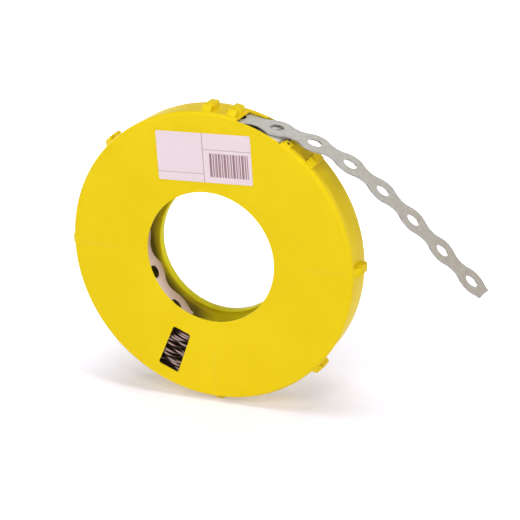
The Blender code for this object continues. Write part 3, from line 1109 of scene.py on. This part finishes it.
    def build_back(self) -> Piece:
        """The cup: flat ring, rim wall, lip round the bore, catches, their slits and the exit."""
        back = self.reel.half_depth
        bore = self.bore_radius
        lip_front = back - self.plate - self.lip_height
        fillet = self.lip_fillet
        profile: list[Point2] = []
        for middle, start in (
            ((bore + fillet, back - fillet), 90.0),
            ((bore + fillet, lip_front + fillet), 180.0),
            ((bore + self.lip_wall - fillet, lip_front + fillet), 270.0),
        ):
            profile += arc(middle, fillet, start, start + 90.0, 3)
        profile += [
            (bore + self.lip_wall, self.half_inside),
            (self.rim_inner, self.half_inside),
            (self.rim_inner, self.rim_front),
        ]
        fillet = self.edge_fillet
        profile += arc((self.rim_radius - fillet, self.rim_front + fillet), fillet, -90.0, 0.0, 3)
        fillet = self.back_fillet
        profile += arc((self.rim_radius - fillet, back - fillet), fillet, 0.0, 90.0, 6)
        return self._worked(
            new_object("back_shell_moulding", self.turner.ring(profile, self.steps)),
            [
                (self._catches(), Join.ADD),
                (self._slits(), Join.CUT),
                *((cutter, Join.CUT) for cutter in self._exit()),
            ],
        )

    def _catches(self) -> Piece:
        """The catches, one behind each lug."""
        root = self.rim_radius - self.rim_wall / 2
        clip = self.clip
        top = self.reel.clip_radius
        profile = [
            (root, clip.catch_front),
            (root, clip.catch_back),
            (top - clip.chamfer, clip.catch_back),
            (top, clip.catch_back - clip.chamfer),
            (top, clip.catch_front),
        ]
        return self._blocks("catches", profile, self.clip_angles(), clip.width, clip.soften)

    def _slits(self) -> Piece:
        """Cutter for the slit along one side of each catch."""
        clip = self.clip
        offset = math.degrees((clip.width / 2 + clip.slit_margin + clip.slit / 2) / self.rim_radius)
        low = self.rim_front - CUT_MARGIN
        inner = self.rim_inner - CUT_MARGIN
        outer = self.reel.clip_radius + CUT_MARGIN
        back = clip.catch_back - clip.slit_short
        profile = [(inner, low), (inner, back), (outer, back), (outer, low)]
        angles = [angle + offset for angle in self.clip_angles()]
        return self._blocks("slits", profile, angles, clip.slit)

    def _exit(self) -> list[Piece]:
        """Cutters for the rim's opening, deep under the strap's crest and shallow beside it."""
        opening = self.openings
        radii = (self.rim_inner - CUT_MARGIN, self.reel.clip_radius + CUT_MARGIN)
        strip_front = self.reel.half_depth - opening.back_strip
        cuts = (
            ("exit shallow", opening.exit_to, (self.rim_front - CUT_MARGIN, strip_front)),
            ("exit deep", opening.exit_deep_to, (strip_front - CUT_MARGIN, self.half_inside)),
        )
        return [
            self._ring_cutter(name, radii, (opening.exit_from, end), span)
            for name, end, span in cuts
        ]


@dataclass
class StrapRoute:
    """The line that the strap follows, from the coil's inner end to its free end."""

    reel: Reel
    leaves_at: float = 84.0
    outer_radius: float = 72.1
    turn_step: float = 1.02
    inner_angle: float = 245.0
    whole_turns: int = 27
    loose_angles: tuple[float, ...] = (0.0, 20.0, 41.0, 62.0, 90.0, 150.0, 340.0)
    loose_drops: tuple[float, ...] = (2.0, 4.1, 5.4, 3.4, 0.9, 0.2, 0.0)
    bulge_angle: float = 60.5
    bulge_reach: float = 13.0
    bulge_rise: float = 2.6
    outer_hole: float = 61.5
    inner_hole: float = 203.6
    first_hole: float = 6.8
    pitch: float = 20.0
    headings: tuple[float, ...] = (-8.6, -12.4, -20.6, -31.6, -39.2, -42.8, -44.2, -42.8, -42.0)
    wobbles: tuple[Point3, ...] = ((0.12, 0.31, 0.5), (0.08, 0.83, 2.0))
    spiral_step: float = 0.01
    lead_step: float = 0.25
    loose_smoothing: int = 31

    def __post_init__(self) -> None:
        self._wind()
        self._lead()

    def _wind(self) -> None:
        """Works out the spiral, sampled backwards from where the strap leaves the coil."""
        sweep = math.radians(self.inner_angle - self.leaves_at) + math.tau * self.whole_turns
        turned = np.linspace(0.0, sweep, round(sweep / self.spiral_step))
        wobble = sum(reach * np.sin(rate * turned + start) for reach, rate, start in self.wobbles)
        settle = np.clip(turned / math.tau, 0.0, 1.0)
        radius = self.outer_radius - self.turn_step * turned / math.tau
        radius += wobble * settle - self._loose(np.degrees(sweep - turned))
        radius += self._bulge(np.degrees(turned) + self.leaves_at)
        angle = math.radians(self.leaves_at) + turned
        x = radius * np.cos(angle)
        z = radius * np.sin(angle)
        stride = np.hypot(np.diff(x), np.diff(z))
        length = np.concatenate([[0.0], np.cumsum(stride)])
        self.wound = self._slipped(length, turned, sweep)
        self.wound_x = x
        self.wound_z = z
        self.wound_heading = np.unwrap(np.arctan2(-np.gradient(z), -np.gradient(x)))
        self.wound_heading -= round((self.wound_heading[0] + 0.1) / math.tau) * math.tau

    def _loose(self, before_end: np.ndarray) -> np.ndarray:
        """How far the last turn has sprung in from the pack, by angle before the inner end."""
        drop = np.interp(before_end, self.loose_angles, self.loose_drops)
        window = np.hanning(self.loose_smoothing)
        padded = np.pad(drop, self.loose_smoothing // 2, mode="edge")
        return np.convolve(padded, window / window.sum(), mode="valid")

    def _bulge(self, angle: np.ndarray) -> np.ndarray:
        """How far the coil's first turns press out through the exit, by unwrapped angle."""
        away = np.clip((angle - self.bulge_angle - 360.0) / self.bulge_reach, -1.0, 1.0)
        return self.bulge_rise * (1.0 + np.cos(math.pi * away)) / 2

    def _slipped(self, length: np.ndarray, turned: np.ndarray, sweep: float) -> np.ndarray:
        """Lengths along the coil, eased so that a hole falls at both angles that show one."""
        eased = length
        first = math.radians((self.outer_hole - self.leaves_at) % 360.0)
        last = sweep - math.radians((self.inner_angle - self.inner_hole) % 360.0)
        for spot, start, end in ((first, 0.0, first), (last, sweep / 2, last)):
            place = np.interp(spot, turned, eased) + self.first_hole
            slip = round(place / self.pitch) * self.pitch - place
            eased = eased + slip * np.clip((turned - start) / (end - start), 0.0, 1.0)
        return eased

    def _lead(self) -> None:
        """Works out the free end by following its heading from where it leaves the coil."""
        length = self.first_hole + self.pitch * (len(self.headings) - 1)
        along = np.arange(0.0, length, self.lead_step)
        holes = self.first_hole + self.pitch * np.arange(len(self.headings))
        knots = np.concatenate([[0.0], holes])
        turns = np.radians(np.concatenate([[self.leaves_at - 90.0], self.headings]))
        heading = np.interp(along, knots, turns)
        middle = (heading[1:] + heading[:-1]) / 2
        self.lead = along
        stride = self.lead_step * np.stack([np.cos(middle), np.sin(middle)])
        steps = np.concatenate([[[0.0], [0.0]], np.cumsum(stride, axis=1)], axis=1)
        self.lead_x = self.wound_x[0] + steps[0]
        self.lead_z = self.wound_z[0] + steps[1]
        self.lead_heading = heading

    def at(self, along: np.ndarray) -> tuple[np.ndarray, np.ndarray, np.ndarray]:
        """Place and heading along the strap.

        Args:
            along: Distances from the free end's first hole, towards its tip.

        Returns:
            X, Z and the heading in radians for each distance.
        """
        past = along + self.first_hole
        inside = past < 0.0
        found = [
            np.where(inside, np.interp(-past, self.wound, wound), np.interp(past, self.lead, lead))
            for wound, lead in (
                (self.wound_x, self.lead_x),
                (self.wound_z, self.lead_z),
                (self.wound_heading, self.lead_heading),
            )
        ]
        return tuple(found)


@dataclass
class SteelStrap:
    """The perforated strip, wound in its coil and led out, as one body."""

    route: StrapRoute
    width: float = 17.6
    waist: float = 11.0
    thickness: float = 0.8
    hole: float = 7.0
    end_margin: float = 8.5
    end_slant: float = 1.0
    fine_steps: int = 24
    coarse_steps: int = 12
    fine_from: float = -75.0
    fine_shares: tuple[float, ...] = (0.205, 0.235, 0.265, 0.30, 0.34, 0.38, 0.42, 0.46)
    coarse_shares: tuple[float, ...] = (0.265, 0.37)

    def half_width(self, along: np.ndarray) -> np.ndarray:
        """Half the strip's width, from arcs round the holes and arcs between them."""
        crest = self.width / 2
        waist = self.waist / 2
        reach = self.route.pitch / 2
        neck = (reach**2 + waist**2 - crest**2) / (2 * (crest - waist))
        offset = np.abs((along + reach) % self.route.pitch - reach)
        wide = np.sqrt(np.clip(crest**2 - offset**2, 0.0, None))
        narrow = waist + neck - np.sqrt(np.clip(neck**2 - (reach - offset) ** 2, 0.0, None))
        return np.where(offset <= reach * crest / (crest + neck), wide, narrow)

    def hole_half(self, along: np.ndarray) -> np.ndarray:
        """Half the hole's width at each place, nought beside it."""
        reach = self.route.pitch / 2
        offset = (along + reach) % self.route.pitch - reach
        return np.sqrt(np.clip((self.hole / 2) ** 2 - offset**2, 0.0, None))

    def stations(self) -> np.ndarray:
        """Places along the strip that get a row of points, closer together where it shows."""
        pitch = self.route.pitch
        first = -self.route.first_hole - self.route.wound[-1]
        last = (len(self.route.headings) - 2) * pitch + self.end_margin
        places = [first, last]
        for index in range(math.floor(first / pitch), math.ceil(last / pitch) + 1):
            middle = index * pitch
            steps, shares = self.coarse_steps, self.coarse_shares
            if middle > self.fine_from:
                steps, shares = self.fine_steps, self.fine_shares
            turns = np.arange(steps // 2 + 1) * math.tau / steps
            beside = pitch * np.array(shares)
            cell = np.concatenate([self.hole / 2 * np.cos(turns), beside, -beside, [pitch / 2]])
            places += [value for value in np.round(middle + cell, 5) if first < value < last]
        return np.unique(np.array(places))

    def build(self) -> Piece:
        """One closed strip bent along the route, with a map of its own length and width."""
        along = self.stations()
        edge = self.half_width(along)
        inner = self.hole_half(along)
        inner[inner < 1e-3] = 0.0
        slant = np.zeros_like(along)
        slant[-1] = self.end_slant / 2
        lift = self.thickness / 2
        flat: list[tuple[np.ndarray, np.ndarray, np.ndarray]] = []
        level = np.zeros_like(along)
        rows = ((-edge, -slant), (-inner, level), (inner, level), (edge, slant))
        for height in (lift, -lift):
            for across, shift in rows:
                flat.append((along + shift, across, np.full_like(along, height)))
        s = np.concatenate([part[0] for part in flat])
        y = np.concatenate([part[1] for part in flat])
        h = np.concatenate([part[2] for part in flat])
        x, z, heading = self.route.at(s)
        points = np.stack([x - h * np.sin(heading), y, z + h * np.cos(heading)], axis=1) * MM
        points += np.array(self.route.reel.centre)
        data = bpy.data.meshes.new("steel_strap")
        data.from_pydata(points.tolist(), [], self._faces(len(along), inner))
        self._map(data, s, y)
        mesh = bmesh.new()
        mesh.from_mesh(data)
        bpy.data.meshes.remove(data)
        bmesh.ops.delete(mesh, geom=[v for v in mesh.verts if not v.link_faces], context="VERTS")
        return new_object("steel_strap", mesh, sharp=40.0)

    @staticmethod
    def _faces(count: int, inner: np.ndarray) -> list[tuple[int, ...]]:
        """Faces of the strip: two skins, the wavy edges, the hole walls and the two ends."""

        def index(layer: int, row: int, i: int) -> int:
            """Number of a point, the two middle rows being one beside the holes."""
            if row == 2 and inner[i] == 0.0:
                row = 1
            return (layer * 4 + row) * count + i

        def quad(first: tuple[int, int], second: tuple[int, int], i: int, j: int) -> None:
            """Adds the face between two lines of points, from one place to the next."""
            corners = (index(*first, i), index(*first, j), index(*second, j), index(*second, i))
            faces.append(tuple(dict.fromkeys(corners)))

        faces: list[tuple[int, ...]] = []
        for i in range(count - 1):
            j = i + 1
            for low, high in ((0, 1), (2, 3)):
                quad((0, low), (0, high), i, j)
                quad((1, high), (1, low), i, j)
            quad((0, 0), (1, 0), j, i)
            quad((0, 3), (1, 3), i, j)
            if inner[i] > 0.0 or inner[j] > 0.0:
                quad((0, 1), (1, 1), i, j)
                quad((0, 2), (1, 2), j, i)
        for i, order in ((0, 1), (count - 1, -1)):
            for low, high in ((0, 1), (2, 3)):
                corners = [index(0, low, i), index(0, high, i), index(1, high, i), index(1, low, i)]
                faces.append(tuple(corners[::order]))
        return faces

    @staticmethod
    def _map(data: bpy.types.Mesh, along: np.ndarray, across: np.ndarray) -> None:
        """Writes the strip's own length and width into a UV map, in millimetres."""
        layer = data.uv_layers.new(name=STRIP_MAP)
        corners = np.empty(len(data.loops), np.int32)
        data.loops.foreach_get("vertex_index", corners)
        pairs = np.stack([along[corners], across[corners]], axis=1).astype(np.float32)
        layer.data.foreach_set("uv", pairs.ravel())


@dataclass
class PaperLabel:
    """The thin label that lies on the front face."""

    reel: Reel
    width: float = 50.0
    height: float = 25.0
    thickness: float = 0.12
    lift: float = 0.02
    corner: float = 0.8
    radius: float = 51.9
    angle: float = 90.8
    tilt: float = 1.9

    def build(self) -> Piece:
        """A rounded sheet whose origin is its middle, turned into place by the object."""
        mesh = bmesh.new()
        across = self.width / 2 - self.corner
        upright = self.height / 2 - self.corner
        points: list[Point2] = []
        for side_x, side_z, start in ((1, 1, 0.0), (-1, 1, 90.0), (-1, -1, 180.0), (1, -1, 270.0)):
            points += arc((side_x * across, side_z * upright), self.corner, start, start + 90.0, 8)
        near = [mesh.verts.new(Vector((x, 0.0, z)) * MM) for x, z in points]
        draw_out(mesh, near, Vector((0.0, -self.thickness * MM, 0.0)))
        sheet = new_object("paper_label", mesh)
        middle = self.reel.place(self.radius, self.angle, -self.reel.half_depth - self.lift)
        turn = Matrix.Rotation(math.radians(-self.tilt), 4, "Y")
        sheet.matrix_world = Matrix.Translation(middle) @ turn
        return sheet


@dataclass
class Studio:
    """Pale floor, soft lamps and the camera that took the photograph.

    Args:
        reel: The shared sizes.
        azimuth: The camera's angle to the right of the front.
        elevation: Its angle above the level.
        roll: How far it leans to the left.
        focal_pixels: Its focal length, in pixels of the photograph.
        distance: From the reel's centre to it.
        reel_pixel: Where the reel's centre falls in the photograph.
        horizon_level: Light from the horizon.
        horizon_reach: How high, as the sine of an angle, it fades to the zenith's.
        zenith_level: Light from the zenith.
        floor_colour: The floor's colour.
        floor_glow: How brightly the floor glows to the camera at the foot and far away; rising away
            from the foot, the glow is painted light that fades out shadows there.
        glow_reach: Distances from the foot between which that changes, in metres.
        floor_size: The floor's width, in metres.
        lamps: Name, place from the reel's centre, size, watts and turn of each lamp.
    """

    reel: Reel
    azimuth: float = 24.9
    elevation: float = 21.1
    roll: float = -2.45
    focal_pixels: float = 2394.0
    distance: float = 1184.0
    reel_pixel: Point2 = (218.0, 251.0)
    horizon_level: float = 0.95
    horizon_reach: float = 0.6
    zenith_level: float = 0.05
    floor_colour: Colour = (0.87, 0.84, 0.97)
    floor_glow: Point2 = (0.24, 1.0)
    glow_reach: Point2 = (0.045, 0.22)
    floor_size: float = 6.0
    lamps: tuple[tuple[str, Point3, Point2, float, float], ...] = (
        ("key", (-0.7, -1.3, 0.2), (0.7, 0.7), 5.0, 0.0),
        ("front high", (0.3, -1.0, 1.0), (0.5, 0.5), 4.7, 0.0),
        ("overhead", (-0.03, -0.14, 1.4), (1.3, 0.12), 8.6, -22.0),
        ("side", (1.5, -0.25, 0.15), (1.6, 1.6), 12.5, 0.0),
        ("back", (-1.25, 0.9, 0.08), (0.7, 0.7), 6.5, 0.0),
    )

    def build(self) -> Piece:
        """Sets the world, the lamps, the camera and the floor, and returns the floor."""
        bpy.context.scene.view_settings.view_transform = "Standard"
        self._world()
        for lamp in self.lamps:
            self._lamp(*lamp)
        self._camera()
        return self._floor()

    @staticmethod
    def _seen(sheet: NodeSheet) -> Socket:
        """One where a ray looks that sees the white studio, and nought elsewhere."""
        path = sheet.add("ShaderNodeLightPath")
        first, *others = (path.outputs[ray.value] for ray in Ray)
        for other in others:
            first = sheet.math("MAXIMUM", first, other)
        return first

    def _world(self) -> None:
        """White to the camera and in reflections, and a plain level of light."""
        world = bpy.data.worlds.new("white studio")
        world.use_nodes = True
        bpy.context.scene.world = world
        sheet = NodeSheet(world.node_tree)
        shader = sheet.nodes["Background"]
        shader.inputs["Color"].default_value = (1.0, 1.0, 1.0, 1.0)
        upward = sheet.split(sheet.add("ShaderNodeTexCoord").outputs["Generated"])[2]
        level = sheet.remap(upward, 0.0, self.horizon_reach, self.horizon_level, self.zenith_level)
        seen = self._seen(sheet)
        sheet.wire(sheet.math("MAXIMUM", level, seen), shader.inputs["Strength"])

    def _lamp(self, name: str, place: Point3, size: Point2, power: float, turn: float) -> None:
        """A soft lamp that looks at the reel.

        Args:
            name: The lamp's name.
            place: Its place from the reel's centre, in metres.
            size: Its length and width, in metres.
            power: Its power in watts.
            turn: Angle of its length from +X towards +Y, seen from above.
        """
        data = bpy.data.lights.new(name, "AREA")
        data.shape = "RECTANGLE"
        data.size, data.size_y = size
        data.energy = power
        offset = Vector(place)
        along = Vector((math.cos(math.radians(turn)), math.sin(math.radians(turn)), 0.0))
        put(name, data, aimed(self.reel.centre + offset, offset, along))

    def _camera(self) -> None:
        """The camera at the photograph's place, with the reel where it falls there."""
        turn = math.radians(self.azimuth)
        rise = math.radians(self.elevation)
        reach = math.cos(rise)
        back = Vector((math.sin(turn) * reach, -math.cos(turn) * reach, math.sin(rise)))
        level = Vector((math.cos(turn), math.sin(turn), 0.0))
        upright = back.cross(level)
        lean = math.radians(self.roll)
        right = level * math.cos(lean) + upright * math.sin(lean)
        up = upright * math.cos(lean) - level * math.sin(lean)
        offset_x = (self.reel_pixel[0] - PHOTO_WIDTH / 2) / self.focal_pixels
        offset_y = (PHOTO_WIDTH / 2 - self.reel_pixel[1]) / self.focal_pixels
        away = back + right * offset_x + up * offset_y
        data = bpy.data.cameras.new("camera")
        data.sensor_width = SENSOR_WIDTH
        data.lens = self.focal_pixels / PHOTO_WIDTH * SENSOR_WIDTH
        data.clip_start = CLIP_START
        place = self.reel.centre + back * self.distance * MM
        bpy.context.scene.camera = put("camera", data, aimed(place, away, right))

    def _floor(self) -> Piece:
        """A wide sheet that keeps the object's shadow near the foot, while its glow, rising away
        from the foot, paints out shadows farther off.
        """
        mesh = bmesh.new()
        half = self.floor_size / 2
        signs = ((-1, -1), (1, -1), (1, 1), (-1, 1))
        mesh.faces.new([mesh.verts.new((x * half, y * half, 0.0)) for x, y in signs])
        floor = new_object("floor", mesh)
        made, sheet, shader = blank_material("white paper floor")
        shader.inputs["Base Color"].default_value = (*self.floor_colour, 1.0)
        shader.inputs["Roughness"].default_value = 0.9
        shader.inputs["Specular IOR Level"].default_value = 0.1
        shader.inputs["Emission Color"].default_value = (1.0, 1.0, 1.0, 1.0)
        seen = self._seen(sheet)
        place = sheet.add("ShaderNodeTexCoord").outputs["Object"]
        away = sheet.add("ShaderNodeVectorMath", operation="LENGTH")
        sheet.wire(place, away.inputs[0])
        # painted light: more glow away from the foot fades out the shadows there
        glow = sheet.remap(away.outputs["Value"], *self.glow_reach, *self.floor_glow)
        sheet.wire(sheet.product(seen, glow), shader.inputs["Emission Strength"])
        floor.data.materials.append(made)
        return floor


def dress(piece: Piece, material: Material) -> None:
    """Gives a piece one material."""
    piece.data.materials.clear()
    piece.data.materials.append(material)


def settle(piece: Piece, node: str, slot: str) -> None:
    """Ties a piece to the frame: its body and the node it stands for, which it hides."""
    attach(piece, "root")
    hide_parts(node)
    log.info("%s stands for %s, %d faces", piece.name, node, len(piece.data.polygons))


def main() -> None:
    """Builds the pieces in order round the frame."""
    logging.basicConfig(level=logging.INFO, format="%(name)s: %(message)s")
    for item in list(bpy.data.objects):
        bpy.data.objects.remove(item)
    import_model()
    reel = Reel.from_frame()
    groups = SharedGroups()
    cassette = Cassette(reel)
    plastic = YellowPlastic().make(groups, reel, cassette.pin)
    steps: list[tuple[Callable[[], Piece], Material, str, str]] = [
        (cassette.build_front, plastic, "front_shell", "housing"),
        (cassette.build_back, plastic, "back_shell", "housing"),
        (SteelStrap(StrapRoute(reel)).build, ZincedSteel().make(groups), "strap", "steel"),
    ]
    label = PaperLabel(reel)
    paper = CoatedPaper().make(groups, (label.width, label.height))
    steps.append((label.build, paper, "label", "paper"))
    for build, material, node, slot in steps:
        piece = build()
        dress(piece, material)
        settle(piece, node, slot)
    Studio(reel).build()


if __name__ == "__main__":
    main()
